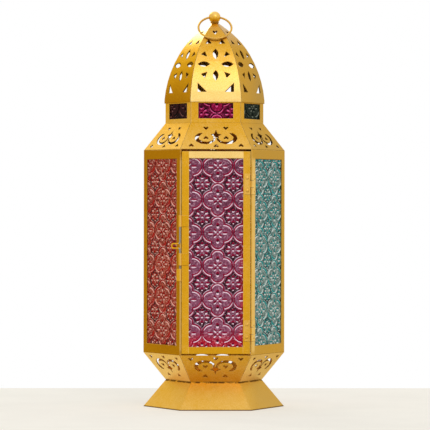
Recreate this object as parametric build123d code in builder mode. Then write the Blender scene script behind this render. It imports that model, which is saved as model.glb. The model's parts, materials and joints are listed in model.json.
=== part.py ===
"""Hexagonal hanging candle lantern in pierced sheet metal and pressed glass.

Millimetres, +Z up, the door on the -Y side. The origin is the middle of the foot's lower edge.
"""

import os
from math import acos, asin, atan2, ceil, cos, degrees, pi, radians, sin, sqrt, tan

from build123d import *

# Outline: radius of each hexagon's corners, and the height of each storey
BODY_CORNER_R = 70.5
FOOT_CORNER_R = BODY_CORNER_R
WAIST_CORNER_R = 48.5
NECK_CORNER_R = 49.0
FOOT_H = 26.2
COLLAR_H = 27.0
BODY_H = 201.5
SHOULDER_H = 27.0
NECK_H = 23.0

# Sheet metal
SHEET_T = 0.8
STRIP_T = 0.6
SEAM_GAP = 0.3
FOOT_CREASE_R = 1.6
FOOT_FLANGE_W = 5.0
FLOOR_T = 0.8
FLOOR_RECESS = 0.5

# Fixed windows
STILE_W = 6.6
RAIL_W = 9.2
GLASS_T = 3.0
GLASS_LAP = 2.0
DOOR_RETURN_W = 1.2

# Pressed glass: lozenges sunk between raised quatrefoils
PRESS_W = 30.3
PRESS_H = 32.6
PRESS_DEPTH = 0.6
LOZENGE_W = 24.0
LOZENGE_H = 26.0

# Where a lozenge lies from the middle of a pane of each colour: across, and up
PRESS_SHIFTS = {"pink": (16.8, 2.7), "teal": (0.0, -8.4), "red": (15.2, 5.0)}

# Neck windows
NECK_STILE_W = 7.3
NECK_SILL_H = 3.8
NECK_HEAD_H = 4.0
NECK_GLASS_T = 2.5

# Clips that hold the panes against the sheet
CLIP_W = 8.0
CLIP_LIP = 2.5
CLIP_PLAY = 0.1

# Door
DOOR_GAP = 0.5
DOOR_GAP_LOW = 1.3
DOOR_GAP_TOP = 1.9
DOOR_PROUD = 0.4
DOOR_BORDER_W = 7.0
DOOR_EDGE_D = 4.0
DOOR_GLASS_LAP = 3.4

# Hinges
PIN_R = 0.85
PIN_FIT = 0.05
HINGE_H = 20.6
HINGE_LEAF_W = 7.6
HINGE_DROP_TOP = 21.9
HINGE_RISE_LOW = 12.4
KNUCKLE_GAP = 0.3
LEAF_RELIEF = 0.4

# Latch: a bent wire bolt in two guides on the door, dropping into a keeper
BOLT_R = 0.8
BOLT_FIT = 0.1
GUIDE_RISE = 86.5
GUIDE_H = 12.1
TOP_GUIDE_H = 11.5
GUIDE_SPACE = 25.6
KEEPER_H = 12.2
KEEPER_SPACE = 3.2
KEEPER_W = 7.0
BOLT_GRIP = 3.2
BOLT_CLEAR = 0.4
BOLT_HEAD_IN = 5.4
HANDLE_REACH = 8.0
HANDLE_DROP = 4.4
HANDLE_BEND = 1.2
HANDLE_SEAT = 0.2

# Dome: angles are measured from the vertical, going up the middle of a petal
DOME_LAP = 3.1
LAP_GAP = 0.15
DOME_LOW_R = 120.0
DOME_LOW_LEAN = 4.0
DOME_MID_LEAN = 27.0
DOME_TOP_LEAN = 50.0
DOME_TIP_L = 10.0
DOME_RUNS = 5
APEX_HOLE = 3.0

# Finial and hanging ring
BALL_R = 5.9
BALL_FLAT = 4.5
BALL_TIP_R = 0.8
BEAD_R = 4.3
BEAD_H = 1.0
SHANK_R = 2.0
SHANK_FIT = 0.05
WASHER_R = 6.0
WASHER_T = 1.0
SEAT_GAP = 0.1
RING_OUTER_R = 17.5
RING_WIRE_R = 1.0
RING_HOLE_PLAY = 0.2
RING_LEAN = 44.0

# Candle cup, soldered to the floor
CUP_R = 20.0
CUP_DEPTH = 9.0
CUP_WALL = 0.8

# How many flats stand for each round form
WIRE_SIDE_COUNT = 6
SLEEVE_SIDE_COUNT = 10
BALL_SIDE_COUNT = 16
BALL_STEP_COUNT = 8
RING_SIDE_COUNT = 36

# The stampings are drawn for a panel and a petal of these sizes, and follow the real ones
SCROLL_DRAWN_SLANT = 32.8
PETAL_DRAWN_W = 50.1
PETAL_DRAWN_H = 80.6

FACES = ("front", "front_right", "back_right", "back", "back_left", "front_left")
FIXED_FACES = FACES[1:]
FACE_TURN = 360 / len(FACES)
HALF_FACE = radians(FACE_TURN / 2)


def apothem(corner_r):
    """Distance from the axis to the middle of a face."""
    return corner_r * cos(HALF_FACE)


def half_side(apothem_r):
    """Half the width of a face at this distance from the axis."""
    return apothem_r * tan(HALF_FACE)


# Levels, from the ground up
waist_z = FOOT_H + FLOOR_T
body_z = waist_z + COLLAR_H
shoulder_z = body_z + BODY_H
neck_z = shoulder_z + SHOULDER_H
neck_top_z = neck_z + NECK_H
dome_z = neck_top_z - DOME_LAP

# Distances of the faces from the axis
foot_a = apothem(FOOT_CORNER_R)
waist_a = apothem(WAIST_CORNER_R)
body_a = apothem(BODY_CORNER_R)
neck_a = apothem(NECK_CORNER_R)
dome_a = neck_a + LAP_GAP + SHEET_T
reach = 2 * max(foot_a, body_a, dome_a)


def face_plane(index, z=0):
    """A level plane whose -Y side looks out through this face."""
    turn = radians(FACE_TURN * index)
    return Plane(origin=(0, 0, z), x_dir=(cos(turn), sin(turn), 0), z_dir=(0, 0, 1))


def wedge(gap):
    """Everything between two corners of the hexagon, less half a seam at each."""
    with BuildSketch() as outline:
        spread = half_side(reach - gap)
        Polygon((0, -gap), (spread, -reach), (-spread, -reach), align=None)
    return outline.sketch


FACE_WEDGE = wedge(SEAM_GAP)


def save(builder, label):
    """Name a finished piece and write it to its own file."""
    builder.part.label = label
    export_step(builder.part, f"parts/{label}.step")


def save_on_faces(master, prefix, faces):
    """Turn a piece made at the front to each face named, as a piece of its own."""
    for face in faces:
        with BuildPart() as piece:
            add(master.part, rotation=(0, 0, FACE_TURN * FACES.index(face)))
        save(piece, f"{prefix}_{face}")


os.makedirs("parts", exist_ok=True)


# Foot: one folded skirt with a flange turned in at the waist
foot_slope = atan2(foot_a - waist_a, FOOT_H)
foot_run = SHEET_T / cos(foot_slope) / cos(HALF_FACE)


def frustum(base_r, crease_r):
    """A six-sided solid with the foot's slope and rounded creases."""
    with BuildPart() as solid:
        with BuildSketch():
            RegularPolygon(base_r, len(FACES))
        extrude(amount=FOOT_H, taper=degrees(foot_slope))
        fillet(solid.edges().filter_by(Plane.XY, reverse=True), crease_r)
    return solid.part


foot_outer = frustum(FOOT_CORNER_R, FOOT_CREASE_R)
foot_inner = frustum(FOOT_CORNER_R - foot_run, FOOT_CREASE_R - SHEET_T)
with BuildPart() as foot_skirt:
    with BuildSketch(Plane.XY.offset(FOOT_H - SHEET_T)):
        RegularPolygon(FOOT_CORNER_R, len(FACES))
        RegularPolygon(WAIST_CORNER_R - foot_run - FOOT_FLANGE_W, len(FACES), mode=Mode.SUBTRACT)
    extrude(amount=SHEET_T)
    add(foot_outer, mode=Mode.INTERSECT)
    add(foot_outer - foot_inner)
save(foot_skirt, "foot_skirt")

# Floor, clamped between the foot's flange and the collar
with BuildPart() as floor_plate:
    with BuildSketch(Plane.XY.offset(FOOT_H)):
        RegularPolygon(WAIST_CORNER_R - FLOOR_RECESS, len(FACES))
    extrude(amount=FLOOR_T)
save(floor_plate, "floor_plate")

# Candle cup
with BuildPart() as candle_cup:
    with BuildSketch(Plane.XY.offset(waist_z)):
        Circle(CUP_R + CUP_WALL)
    extrude(amount=CUP_WALL + CUP_DEPTH)
    with BuildSketch(Plane.XY.offset(waist_z + CUP_WALL)):
        Circle(CUP_R)
    extrude(amount=CUP_DEPTH, mode=Mode.SUBTRACT)
save(candle_cup, "candle_cup")


# Stamped scrollwork: Y runs from a panel's narrow edge to its wide edge
def heart():
    """A small heart whose point looks along +Y."""
    with BuildSketch() as outline:
        half = ((0, 2.1), (2.6, -0.8), (1.5, -1.8), (0, -0.7))
        with BuildLine():
            Polyline(*half)
            mirror(about=Plane.YZ)
        make_face()
    return outline.sketch


def oval_run(centre, radii, start, end, count):
    """Points along an oval: 0 degrees looks to the panel's middle, 90 to its wide edge."""
    turns = [radians(start + (end - start) * step / (count - 1)) for step in range(count)]
    return [
        (centre[0] - radii[0] * cos(turn), centre[1] + radii[1] * sin(turn)) for turn in turns
    ]


def scroll():
    """Half of the moustache: a hooked head, thinning towards the star."""
    with BuildSketch() as outline:
        outer = oval_run((10.6, 19.3), (10.4, 7.3), -5, 235, 9)
        inner = oval_run((9.6, 18.9), (7.8, 5.1), 225, 5, 7)
        Polygon(*outer, (13.0, 13.2), *inner, align=None)
    return outline.sketch


def star():
    """The five-pointed leaf between the two scrolls."""
    with BuildSketch() as outline:
        half = ((0, 9.4), (1.4, 13.7), (5.3, 15.0), (2.3, 16.9), (2.8, 19.6), (0, 18.1))
        with BuildLine():
            Polyline(*half)
            mirror(about=Plane.YZ)
        make_face()
    return outline.sketch


def scrollwork(slant):
    """All the openings of a panel with this slant height."""
    hearts_down = ((-9.7, 7.3), (9.7, 7.3))
    hearts_up = ((-9.9, 18.8), (9.9, 18.8), (-24.4, 28.0), (0, 28.6), (24.4, 28.0))
    one_heart, one_scroll, one_star = heart(), scroll(), star()
    with BuildSketch() as openings:
        add(one_scroll)
        mirror(about=Plane.YZ)
        add(one_star)
        with Locations(*hearts_down):
            add(one_heart)
        with Locations(*hearts_up):
            add(one_heart, rotation=180)
        scale(by=slant / SCROLL_DRAWN_SLANT)
    return openings.sketch


def panel_plane(narrow_a, narrow_z, wide_a, wide_z):
    """The outer face of a sloping panel, from its narrow edge to its wide one."""
    run, rise = narrow_a - wide_a, wide_z - narrow_z
    return Plane(origin=(0, -narrow_a, narrow_z), x_dir=(1, 0, 0), z_dir=(0, -rise, run))


# Collar: six pierced panels that widen from the waist to the body
collar_slant = sqrt((body_a - waist_a) ** 2 + COLLAR_H**2)
collar_run = SHEET_T * collar_slant / COLLAR_H
collar_openings = scrollwork(collar_slant)
with BuildPart() as collar_panel:
    with BuildSketch(Plane.YZ):
        Polygon(
            (-waist_a, waist_z),
            (-waist_a + collar_run, waist_z),
            (-body_a + collar_run, body_z),
            (-body_a, body_z),
            align=None,
        )
    extrude(amount=reach, both=True)
    with BuildSketch():
        add(FACE_WEDGE)
    extrude(amount=dome_z, mode=Mode.INTERSECT)
    with BuildSketch(panel_plane(waist_a, waist_z, body_a, body_z)):
        add(collar_openings)
    extrude(amount=2 * SHEET_T, both=True, mode=Mode.SUBTRACT)
save_on_faces(collar_panel, "collar_panel", FACES)

# Shoulder: six pierced panels, each folded up into a window of the neck
shoulder_slant = sqrt((body_a - neck_a) ** 2 + SHOULDER_H**2)
shoulder_run = SHEET_T * shoulder_slant / SHOULDER_H
fold_drop = (shoulder_run - SHEET_T) * SHOULDER_H / (body_a - neck_a)
shoulder_openings = scrollwork(shoulder_slant)
neck_half = half_side(neck_a) - NECK_STILE_W
neck_window_low = neck_z + NECK_SILL_H
neck_window_top = neck_top_z - NECK_HEAD_H
with BuildPart() as shoulder_panel:
    with BuildSketch(Plane.YZ):
        Polygon(
            (-body_a, shoulder_z),
            (-body_a + shoulder_run, shoulder_z),
            (-neck_a + SHEET_T, neck_z - fold_drop),
            (-neck_a + SHEET_T, neck_top_z),
            (-neck_a, neck_top_z),
            (-neck_a, neck_z),
            align=None,
        )
    extrude(amount=reach, both=True)
    with BuildSketch():
        add(FACE_WEDGE)
    extrude(amount=2 * neck_top_z, mode=Mode.INTERSECT)
    with BuildSketch(panel_plane(neck_a, neck_z, body_a, shoulder_z)):
        add(shoulder_openings)
    extrude(amount=2 * SHEET_T, both=True, mode=Mode.SUBTRACT)
    with BuildSketch(Plane.XZ.offset(neck_a)):
        with Locations((0, (neck_window_low + neck_window_top) / 2)):
            Rectangle(2 * neck_half, neck_window_top - neck_window_low)
    extrude(amount=-2 * SHEET_T, mode=Mode.SUBTRACT)
save_on_faces(shoulder_panel, "shoulder_panel", FACES)


def pane(half_width, low_z, top_z, outer_a, thickness):
    """A glass plate behind the front face, its outer side at this distance from the axis."""
    with BuildPart() as plate:
        with BuildSketch(Plane.XZ.offset(outer_a)):
            with Locations((0, (low_z + top_z) / 2)):
                Rectangle(2 * half_width, top_z - low_z)
        extrude(amount=-thickness)
    return plate


# Neck panes
neck_pane_half = neck_half + GLASS_LAP
neck_pane_low = neck_window_low - GLASS_LAP
neck_pane_top = neck_window_top + GLASS_LAP
neck_glass = pane(neck_pane_half, neck_pane_low, neck_pane_top, neck_a - SHEET_T, NECK_GLASS_T)
save_on_faces(neck_glass, "neck_glass", FACES)

# Fixed window frames: the two beside the door turn a narrow return onto the front
window_half = half_side(body_a) - STILE_W
window_low = body_z + RAIL_W
window_top = shoulder_z - RAIL_W
seam_shift = SEAM_GAP / 2 / cos(HALF_FACE)
outer_half, inner_half = half_side(body_a), half_side(body_a - SHEET_T)


def window_frame(return_side=0):
    """A frame at the front; return_side -1 or 1 adds the return round that corner."""
    outer, inner = Vector(outer_half, -body_a), Vector(inner_half, SHEET_T - body_a)
    seam = Vector(seam_shift, 0)
    along = Vector(0.5, sin(radians(60))) * DOOR_RETURN_W
    inward = Vector(-sin(radians(60)), 0.5) * SHEET_T
    end = (
        [outer, outer + along, outer + along + inward, inner]
        if return_side
        else [outer - seam, inner - seam]
    )
    with BuildPart() as sheet:
        with BuildSketch(Plane.XY.offset(body_z)) as section:
            far = [Vector(-inner_half, SHEET_T - body_a) + seam, Vector(-outer_half, -body_a) + seam]
            Polygon(*(end + far), align=None)
            if return_side < 0:
                mirror(about=Plane.YZ, mode=Mode.REPLACE)
        extrude(amount=BODY_H)
        with BuildSketch(Plane.XZ.offset(body_a)):
            with Locations((0, (window_low + window_top) / 2)):
                Rectangle(2 * window_half, window_top - window_low)
        extrude(amount=-2 * SHEET_T, mode=Mode.SUBTRACT)
    return sheet


save_on_faces(window_frame(-1), "window_frame", ["front_right"])
save_on_faces(window_frame(), "window_frame", ["back_right", "back", "back_left"])
save_on_faces(window_frame(1), "window_frame", ["front_left"])


def pressed_pane(half_width, low_z, top_z, outer_a, lap, colour):
    """A large pane with the sunk lozenges in its outer side, inside the lap of its frame."""
    across, up = PRESS_SHIFTS[colour]
    middle, height = (low_z + top_z) / 2, top_z - low_z
    columns = 2 * ceil(half_width / PRESS_W) + 1
    rows = 2 * ceil(height / 2 / PRESS_H) + 1
    half_w, half_h = LOZENGE_W / 2, LOZENGE_H / 2
    with BuildPart() as plate:
        add(pane(half_width, low_z, top_z, outer_a, GLASS_T).part)
        with BuildSketch(Plane.XZ.offset(outer_a)):
            with Locations((across, middle + up)):
                with GridLocations(PRESS_W, PRESS_H, columns, rows):
                    Polygon((half_w, 0), (0, half_h), (-half_w, 0), (0, -half_h), align=None)
            with Locations((0, middle)):
                Rectangle(2 * (half_width - lap), height - 2 * lap, mode=Mode.INTERSECT)
        extrude(amount=-PRESS_DEPTH, mode=Mode.SUBTRACT)
    return plate


# Fixed panes
pane_half = window_half + GLASS_LAP
pane_low, pane_top = window_low - GLASS_LAP, window_top + GLASS_LAP
for colour, faces in (
    ("pink", ["back"]),
    ("teal", ["front_right", "back_left"]),
    ("red", ["back_right", "front_left"]),
):
    glass_pane = pressed_pane(pane_half, pane_low, pane_top, body_a - SHEET_T, GLASS_LAP, colour)
    save_on_faces(glass_pane, "glass_pane", faces)


def clip_section(half_width, sheet_a, thickness):
    """Two bent strips that stand on the sheet and reach over both sides of a pane."""
    edge, sheet, back = half_width + CLIP_PLAY, -sheet_a, thickness - sheet_a
    with BuildSketch() as section:
        Polygon(
            (edge, sheet),
            (edge + STRIP_T, sheet),
            (edge + STRIP_T, back + STRIP_T),
            (edge - CLIP_LIP, back + STRIP_T),
            (edge - CLIP_LIP, back),
            (edge, back),
            align=None,
        )
        mirror(about=Plane.YZ)
    return section.sketch


# Clips of the fixed panes and the neck panes
frame_clip = clip_section(pane_half, body_a - SHEET_T, GLASS_T)
neck_clip = clip_section(neck_pane_half, neck_a - SHEET_T, NECK_GLASS_T)
window_h = window_top - window_low
clip_levels = (window_low + window_h / 4, window_low + 3 * window_h / 4)
neck_clip_z = (neck_window_low + neck_window_top) / 2
with BuildPart() as glass_clips:
    for face in FACES:
        turn = FACES.index(face)
        for level in clip_levels if face in FIXED_FACES else ():
            with BuildSketch(face_plane(turn, level)):
                add(frame_clip)
        with BuildSketch(face_plane(turn, neck_clip_z)):
            add(neck_clip)
    extrude(amount=CLIP_W / 2, both=True)
save(glass_clips, "glass_clips")

# Door: two stiles and two rails of edged sheet round a pane
door_half = half_side(body_a) - DOOR_RETURN_W - DOOR_GAP
door_low = body_z + DOOR_GAP_LOW
door_top = shoulder_z - DOOR_GAP_TOP
door_a = body_a + DOOR_PROUD
opening_half = door_half - DOOR_BORDER_W


def door_stile(side):
    """An upright of the door: its face, with the outer edge folded back."""
    with BuildPart() as stile:
        with BuildSketch(Plane.XY.offset(door_low)):
            Polygon(
                (side * opening_half, -door_a),
                (side * door_half, -door_a),
                (side * door_half, DOOR_EDGE_D - door_a),
                (side * (door_half - SHEET_T), DOOR_EDGE_D - door_a),
                (side * (door_half - SHEET_T), SHEET_T - door_a),
                (side * opening_half, SHEET_T - door_a),
                align=None,
            )
        extrude(amount=door_top - door_low)
    return stile


def door_rail(edge_z, side):
    """A crosspiece between the stiles, its outer edge at edge_z folded back."""
    with BuildPart() as rail:
        with BuildSketch(Plane.YZ):
            Polygon(
                (-door_a, edge_z - side * DOOR_BORDER_W),
                (-door_a, edge_z),
                (DOOR_EDGE_D - door_a, edge_z),
                (DOOR_EDGE_D - door_a, edge_z - side * SHEET_T),
                (SHEET_T - door_a, edge_z - side * SHEET_T),
                (SHEET_T - door_a, edge_z - side * DOOR_BORDER_W),
                align=None,
            )
        extrude(amount=opening_half, both=True)
    return rail


save(door_stile(1), "door_stile_hinge")
save(door_stile(-1), "door_stile_latch")
save(door_rail(door_top, 1), "door_rail_top")
save(door_rail(door_low, -1), "door_rail_bottom")

door_pane_half = opening_half + DOOR_GLASS_LAP
door_pane_low = door_low + DOOR_BORDER_W - DOOR_GLASS_LAP
door_pane_top = door_top - DOOR_BORDER_W + DOOR_GLASS_LAP
door_glass = pressed_pane(
    door_pane_half, door_pane_low, door_pane_top, door_a - SHEET_T, DOOR_GLASS_LAP, "pink"
)
save(door_glass, "door_glass")

door_clip = clip_section(door_pane_half, door_a - SHEET_T, GLASS_T)
with BuildPart() as door_glass_clips:
    for level in clip_levels:
        with BuildSketch(Plane.XY.offset(level)):
            add(door_clip)
    extrude(amount=CLIP_W / 2, both=True)
save(door_glass_clips, "door_glass_clips")


# Strips rolled into a sleeve at one end, for the hinges and the latch
def rolled_strip(bore_r, side, base, start, end):
    """A sleeve round the origin, with a strip along +X that lies on a face at side * base."""
    with BuildSketch() as section:
        RegularPolygon(bore_r + STRIP_T, SLEEVE_SIDE_COUNT)
        with Locations(((start + end) / 2, side * (base - STRIP_T / 2))):
            Rectangle(end - start, STRIP_T)
        Circle(bore_r, mode=Mode.SUBTRACT)
    return section.sketch


def flat_strip(side, base, start, end):
    """The same strip where the sleeve is cut away."""
    with BuildSketch() as section:
        with Locations(((start + end) / 2, side * (base - STRIP_T / 2))):
            Rectangle(end - start, STRIP_T)
    return section.sketch


def strip_plane(axis, direction, z):
    """A level plane with its origin on a sleeve's axis and X along the strip."""
    return Plane(origin=(axis.X, axis.Y, z), x_dir=direction, z_dir=(0, 0, 1))


corner = Vector(half_side(body_a), -body_a)
right_face = Vector(cos(radians(60)), sin(radians(60)))
left_face = Vector(-cos(radians(60)), sin(radians(60)))


def depth_behind(axis, face_turn):
    """How far a face's plane lies inside a point."""
    outward = Vector(0, -1).rotate(Axis.Z, face_turn)
    return axis.dot(outward) - body_a


# Hinges: the door's leaf holds the middle knuckle, the frame's leaf the outer two
hinge_bore = PIN_R + PIN_FIT
hinge_sleeve = hinge_bore + STRIP_T
hinge_axis = Vector(corner.X, -door_a - hinge_sleeve)
hinge_levels = {
    "upper": door_top - HINGE_DROP_TOP - HINGE_H,
    "lower": door_low + HINGE_RISE_LOW,
}
knuckle_h = (HINGE_H - 2 * KNUCKLE_GAP) / 3
frame_base = depth_behind(hinge_axis, FACE_TURN)
notch = hinge_sleeve + LEAF_RELIEF
door_knuckle = rolled_strip(hinge_bore, -1, hinge_sleeve, 0, HINGE_LEAF_W)
door_leaf = flat_strip(-1, hinge_sleeve, notch, HINGE_LEAF_W)
frame_start = (hinge_bore + hinge_sleeve) / 2
frame_knuckle = rolled_strip(hinge_bore, 1, frame_base, frame_start, HINGE_LEAF_W)
frame_leaf = flat_strip(1, frame_base, notch, HINGE_LEAF_W)
for name, low in hinge_levels.items():
    middle = low + knuckle_h + KNUCKLE_GAP
    with BuildPart() as hinge_door_leaf:
        with BuildSketch(strip_plane(hinge_axis, (-1, 0, 0), low)):
            add(door_leaf)
        extrude(amount=HINGE_H)
        with BuildSketch(strip_plane(hinge_axis, (-1, 0, 0), middle)):
            add(door_knuckle)
        extrude(amount=knuckle_h)
    save(hinge_door_leaf, f"hinge_door_leaf_{name}")
    with BuildPart() as hinge_frame_leaf:
        with BuildSketch(strip_plane(hinge_axis, right_face, low)):
            add(frame_leaf)
        extrude(amount=HINGE_H)
        for knuckle_low in (low, low + HINGE_H - knuckle_h):
            with BuildSketch(strip_plane(hinge_axis, right_face, knuckle_low)):
                add(frame_knuckle)
            extrude(amount=knuckle_h)
    save(hinge_frame_leaf, f"hinge_frame_leaf_{name}")

with BuildPart() as hinge_pins:
    for low in hinge_levels.values():
        with BuildSketch(strip_plane(hinge_axis, (1, 0, 0), low)):
            Circle(PIN_R)
    extrude(amount=HINGE_H)
save(hinge_pins, "hinge_pins")

# Latch guides on the door and the keeper on the frame beside it
bolt_bore = BOLT_R + BOLT_FIT
bolt_sleeve = bolt_bore + STRIP_T
bolt_axis = Vector(-corner.X, -door_a - bolt_sleeve)
guide_low = door_low + GUIDE_RISE
guide_top = guide_low + GUIDE_H
top_guide_low = guide_top + GUIDE_SPACE
keeper_top = guide_low - KEEPER_SPACE
guide_end = -opening_half - bolt_axis.X
guide = rolled_strip(bolt_bore, 1, bolt_sleeve, 0, guide_end)
for name, low, height in (
    ("lower", guide_low, GUIDE_H),
    ("upper", top_guide_low, TOP_GUIDE_H),
):
    with BuildPart() as latch_guide:
        with BuildSketch(strip_plane(bolt_axis, (1, 0, 0), low)):
            add(guide)
        extrude(amount=height)
    save(latch_guide, f"latch_guide_{name}")

keeper_base = depth_behind(bolt_axis, -FACE_TURN)
keeper = rolled_strip(bolt_bore, -1, keeper_base, (bolt_bore + bolt_sleeve) / 2, KEEPER_W)
with BuildPart() as latch_keeper:
    with BuildSketch(strip_plane(bolt_axis, left_face, keeper_top - KEEPER_H)):
        add(keeper)
    extrude(amount=KEEPER_H)
save(latch_keeper, "latch_keeper")

# Bolt: drawn up just clear of the keeper, with its handle bent out to the side
bolt_lift = BOLT_GRIP + BOLT_CLEAR
bolt_tip = keeper_top + BOLT_CLEAR
bolt_head = top_guide_low + BOLT_HEAD_IN + bolt_lift
handle_low = guide_top + HANDLE_BEND + HANDLE_SEAT + bolt_lift
handle_top = handle_low + HANDLE_DROP
bolt_plane = Plane(origin=(bolt_axis.X, bolt_axis.Y, 0), x_dir=(1, 0, 0), z_dir=(0, -1, 0))
with BuildPart() as latch_bolt:
    with BuildLine(bolt_plane):
        Polyline(
            (0, bolt_tip),
            (0, handle_low - HANDLE_BEND),
            (-HANDLE_BEND, handle_low),
            (HANDLE_BEND - HANDLE_REACH, handle_low),
            (-HANDLE_REACH, handle_low + HANDLE_BEND),
            (-HANDLE_REACH, handle_top - HANDLE_BEND),
            (HANDLE_BEND - HANDLE_REACH, handle_top),
            (-HANDLE_BEND, handle_top),
            (0, handle_top + HANDLE_BEND),
            (0, bolt_head),
        )
    with BuildSketch(strip_plane(bolt_axis, (1, 0, 0), bolt_tip)):
        RegularPolygon(BOLT_R, WIRE_SIDE_COUNT)
    sweep(transition=Transition.RIGHT)
save(latch_bolt, "latch_bolt")

# Dome: six petals bent up in small steps, pierced, meeting at a hole in the apex
low_lean, mid_lean, top_lean = (
    radians(angle) for angle in (DOME_LOW_LEAN, DOME_MID_LEAN, DOME_TOP_LEAN)
)
low_run = DOME_LOW_R * (cos(low_lean) - cos(mid_lean))
tip_run = DOME_TIP_L * sin(top_lean)
dome_top_r = (dome_a - APEX_HOLE - low_run - tip_run) / (cos(mid_lean) - cos(top_lean))


def bend(start, radius, low, top):
    """Points up a bend from one lean to another, after its start."""
    leans = [low + (top - low) * step / DOME_RUNS for step in range(1, DOME_RUNS + 1)]
    return [
        start + Vector(radius * (cos(low) - cos(angle)), radius * (sin(angle) - sin(low)))
        for angle in leans
    ]


rib = [Vector(-dome_a, dome_z), Vector(-dome_a, dome_z + DOME_LAP)]
rib += bend(rib[-1], DOME_LOW_R, low_lean, mid_lean)
rib += bend(rib[-1], dome_top_r, mid_lean, top_lean)
rib += [rib[-1] + Vector(tip_run, DOME_TIP_L * cos(top_lean))]
apex_z = rib[-1].Y


def lens(length, width):
    """A pointed oval along X."""
    run = ((-1, 0), (-0.5, 0.8), (0, 1), (0.5, 0.8), (1, 0))
    with BuildSketch() as outline:
        with BuildLine():
            Polyline(*((length / 2 * along, width / 2 * out) for along, out in run))
            mirror(about=Plane.XZ)
        make_face()
    return outline.sketch


def petal_stamp(width_scale, height_scale):
    """The thirteen openings of a petal: across it, and up from its lower edge."""
    upright, level = lens(10.4, 5.5), lens(12.2, 5.2)
    point = heart()
    with BuildSketch() as openings:
        for x, y, shape, turn in (
            (0, 70.2, point, 180),
            (0, 47.9, upright, 90),
            (0, 26.4, upright, 90),
            (-11.6, 37.6, level, 0),
            (11.6, 37.6, level, 0),
        ):
            with Locations((x * width_scale, y * height_scale)):
                add(shape, rotation=turn)
        for x, y, corners in (
            (6.7, 60.4, ((-3.0, -1.9), (3.0, -1.9), (0, 2.5))),
            (11.0, 47.6, ((-2.5, -2.5), (3.2, -0.2), (-0.6, 2.7))),
            (11.2, 27.1, ((-2.9, 2.7), (3.4, 0.6), (-0.5, -3.4))),
            (13.5, 14.0, ((-4.5, -3.9), (4.4, -3.9), (4.4, 5.0))),
        ):
            for side in (-1, 1):
                with Locations((side * x * width_scale, y * height_scale)):
                    Polygon(*((side * dx, dy) for dx, dy in corners), align=None)
    return openings.sketch


petal_openings = petal_stamp(
    2 * half_side(dome_a) / PETAL_DRAWN_W, (apex_z - dome_z) / PETAL_DRAWN_H
)
with BuildPart() as dome_petal:
    with BuildSketch(Plane.YZ):
        with BuildLine():
            Polyline(*rib)
            offset(amount=SHEET_T, side=Side.RIGHT, kind=Kind.INTERSECTION)
        make_face()
    extrude(amount=reach, both=True)
    with BuildSketch():
        add(FACE_WEDGE)
    extrude(amount=2 * apex_z, mode=Mode.INTERSECT)
    with BuildSketch(Plane((0, 0, dome_z), x_dir=(1, 0, 0), z_dir=(0, -1, 0))):
        add(petal_openings)
    extrude(amount=reach, mode=Mode.SUBTRACT)
save_on_faces(dome_petal, "dome_petal", FACES)

# Finial: a ball, bead and shank in one, riveted into a washer inside the apex
ball_z = apex_z + SEAT_GAP + BEAD_H + BALL_FLAT
sheet_drop = SHEET_T / sin(top_lean)
washer_top = apex_z - (WASHER_R - APEX_HOLE) / tan(top_lean) - sheet_drop - SEAT_GAP
washer_low = washer_top - WASHER_T
ring_r = RING_OUTER_R - RING_WIRE_R
ring_sag = ring_r - sqrt(ring_r**2 - BALL_R**2)
hole_r = RING_WIRE_R + ring_sag / 2 + RING_HOLE_PLAY
low_turn, top_turn = -asin(BALL_FLAT / BALL_R), acos(BALL_TIP_R / BALL_R)
ball_turns = [
    low_turn + (top_turn - low_turn) * step / BALL_STEP_COUNT for step in range(BALL_STEP_COUNT + 1)
]
with BuildPart() as finial:
    for low, top in zip(ball_turns, ball_turns[1:]):
        with BuildSketch(Plane.XY.offset(ball_z + BALL_R * sin(low))):
            RegularPolygon(BALL_R * cos(low), BALL_SIDE_COUNT)
        rise, inset = BALL_R * (sin(top) - sin(low)), BALL_R * (cos(low) - cos(top))
        extrude(amount=rise, taper=degrees(atan2(inset * cos(pi / BALL_SIDE_COUNT), rise)))
    with BuildSketch(Plane.XY.offset(ball_z - BALL_FLAT - BEAD_H)):
        RegularPolygon(BEAD_R, BALL_SIDE_COUNT)
    extrude(amount=BEAD_H)
    with BuildSketch(Plane.XY.offset(washer_low)):
        RegularPolygon(SHANK_R, BALL_SIDE_COUNT)
    extrude(amount=ball_z - BALL_FLAT - washer_low)
    # The cross hole leaves room for the ring's bend to turn right over in it
    with BuildSketch(Plane.YZ):
        with Locations((0, ball_z)):
            Circle(hole_r)
    extrude(amount=BALL_R, both=True, mode=Mode.SUBTRACT)
save(finial, "finial")

with BuildPart() as dome_washer:
    with BuildSketch(Plane.XY.offset(washer_low)):
        RegularPolygon(WASHER_R, len(FACES), major_radius=False)
        Circle(SHANK_R + SHANK_FIT, mode=Mode.SUBTRACT)
    extrude(amount=WASHER_T)
save(dome_washer, "dome_washer")

# Hanging ring, made level and then leant forward on the front petal
half_run = pi / RING_SIDE_COUNT
loop_start = Vector(ring_r * cos(half_run), 0)
loop_turns = [(2 * side + 1) * half_run for side in range(RING_SIDE_COUNT)]
with BuildPart() as level_ring:
    with BuildLine():
        Polyline(
            loop_start, *((ring_r * cos(turn), ring_r * sin(turn)) for turn in loop_turns), close=True
        )
    with BuildSketch(Plane(loop_start, x_dir=(1, 0, 0), z_dir=(0, 1, 0))):
        RegularPolygon(RING_WIRE_R, WIRE_SIDE_COUNT)
    sweep(transition=Transition.RIGHT)

lean = radians(RING_LEAN)
ring_centre = Vector(0, -cos(lean), -sin(lean)) * (ring_r - ring_sag / 2) + Vector(0, 0, ball_z)
with BuildPart() as hanging_ring:
    with Locations(Plane(ring_centre, x_dir=(1, 0, 0), z_dir=(0, -sin(lean), cos(lean)))):
        add(level_ring.part)
save(hanging_ring, "hanging_ring")
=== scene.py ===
"""Dressing of a hexagonal candle lantern: gold paint, pressed glass, wire, rivets and stage."""

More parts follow.
